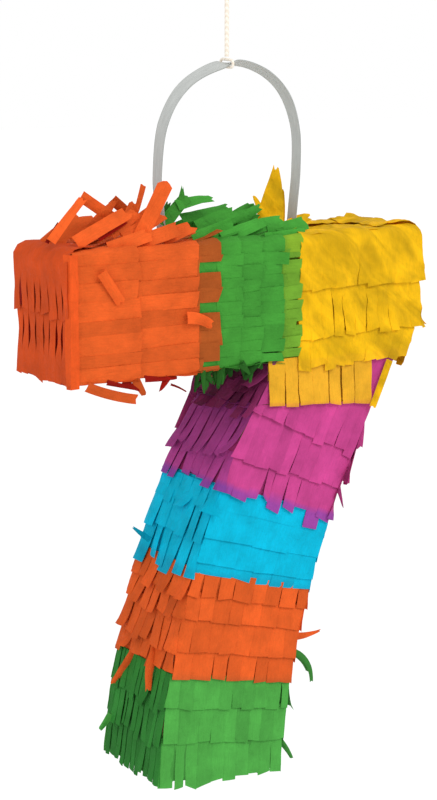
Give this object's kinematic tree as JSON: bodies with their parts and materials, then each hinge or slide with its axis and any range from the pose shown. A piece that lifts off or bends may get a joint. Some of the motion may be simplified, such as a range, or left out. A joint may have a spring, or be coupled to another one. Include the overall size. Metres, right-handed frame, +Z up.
{
  "type": "pinata",
  "caption": "Hanging card pinata in the shape of a seven, wrapped in rows of bright paper fringe, on a plastic strap loop and string, with a filling flap behind.",
  "frame": {"origin": "where the string's top loop bears on whatever it hangs from", "axes": "+Z up along the taut string, +X to the right along the bar of the seven seen from the front, -Y the front face; the middle of the depth is at Y = 0"},
  "size_m": [0.279, 0.074, 0.5803],
  "materials": {
    "orange_paper": "matte",
    "green_paper": "matte",
    "yellow_paper": "matte",
    "magenta_paper": "matte",
    "blue_paper": "matte",
    "card": "matte",
    "gummed_tape": "satin",
    "strap_plastic": "satin",
    "staple_wire": "satin",
    "string": "matte"
  },
  "bodies": {
    "top_loop": {"string_loop": "string"},
    "top_knot": {"string_knot": "string"},
    "string": {"hanging_string": "string"},
    "noose": {"string_noose": "string"},
    "strap": {"hanging_strap": "strap_plastic"},
    "shell": {"front_panel": "card", "back_panel": "card", "top_wall": "card", "arm_end_wall": "card", "arm_under_wall": "card", "right_end_wall": "card", "stem_left_wall": "card", "stem_right_wall": "card", "foot_wall": "card", "front_seam_tape": "gummed_tape", "back_seam_tape": "gummed_tape", "strap_end_tabs": "strap_plastic", "strap_staples": "staple_wire", "orange_arm_row_1": "orange_paper", "orange_arm_row_2": "orange_paper", "orange_arm_row_3": "orange_paper", "orange_end_row_1": "orange_paper", "orange_end_row_2": "orange_paper", "green_arm_row_1": "green_paper", "green_arm_row_2": "green_paper", "green_arm_row_3": "green_paper", "green_arm_row_4": "green_paper", "yellow_corner_row_1": "yellow_paper", "yellow_corner_row_2": "yellow_paper", "yellow_corner_row_3": "yellow_paper", "yellow_collar_row": "yellow_paper", "magenta_row_1": "magenta_paper", "magenta_row_2": "magenta_paper", "magenta_row_3": "magenta_paper", "blue_row_1": "blue_paper", "blue_row_2": "blue_paper", "blue_row_3": "blue_paper", "orange_stem_row_1": "orange_paper", "orange_stem_row_2": "orange_paper", "orange_stem_row_3": "orange_paper", "orange_stem_row_4": "orange_paper", "green_foot_row_1": "green_paper", "green_foot_row_2": "green_paper", "green_foot_row_3": "green_paper"},
    "flap": {"fill_flap": "card", "flap_fringe_row_1": "green_paper", "flap_fringe_row_2": "green_paper", "flap_fringe_row_3": "green_paper"}
  },
  "joints": [
    {"name": "string_swing", "type": "hinge", "parent": "top_loop", "child": "top_knot", "pos_m": [0, 0, -0.026], "axis": [0, 1, 0], "range_deg": [-40, 40]},
    {"name": "string_rock", "type": "hinge", "parent": "top_knot", "child": "string", "pos_m": [0, 0, -0.026], "axis": [1, 0, 0], "range_deg": [-40, 40]},
    {"name": "string_spin", "type": "hinge", "parent": "string", "child": "noose", "pos_m": [0, 0, -0.0797], "axis": [0, 0, 1], "continuous": true},
    {"name": "strap_swing", "type": "hinge", "parent": "noose", "child": "strap", "pos_m": [0, 0, -0.084], "axis": [0, 1, 0], "range_deg": [-20, 20]},
    {"name": "strap_tilt", "type": "hinge", "parent": "strap", "child": "shell", "pos_m": [0.0011, 0, -0.201], "axis": [1, 0, 0], "range_deg": [-20, 20]},
    {"name": "flap_open", "type": "hinge", "parent": "shell", "child": "flap", "pos_m": [-0.03065, 0.0345, -0.2405], "axis": [0, 0, 1], "range_deg": [0, 90]}
  ]
}
